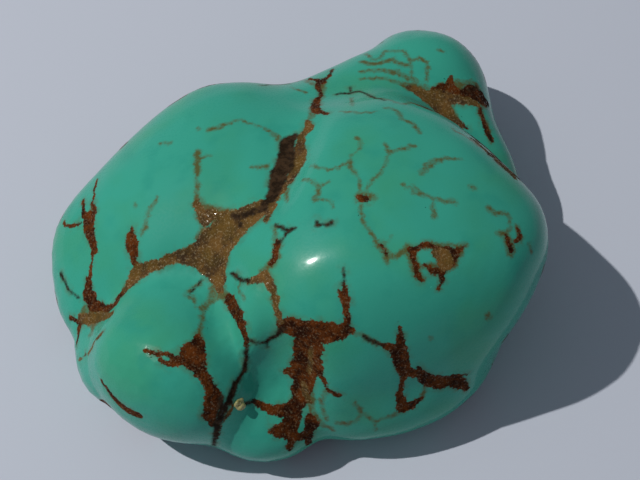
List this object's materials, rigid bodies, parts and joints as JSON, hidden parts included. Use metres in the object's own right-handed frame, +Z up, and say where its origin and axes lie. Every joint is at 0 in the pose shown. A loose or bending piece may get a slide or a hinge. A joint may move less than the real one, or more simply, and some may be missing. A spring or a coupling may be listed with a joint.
{
  "type": "turquoise nugget",
  "caption": "Tumbled turquoise nugget: a lobed, rounded stone, blue-green with brown host rock in its seams, that lies on a worn flat underside.",
  "frame": {"origin": "middle of the stone's footprint, on the surface that it lies on", "axes": "+Z up from the worn underside, +X to the right of the broad front slope, +Y towards the knob at the back"},
  "size_m": [0.0312, 0.0302, 0.0136],
  "materials": {
    "turquoise": "tumbled, polished by wear"
  },
  "bodies": {
    "root": {"turquoise_nugget": "turquoise"}
  },
  "joints": []
}
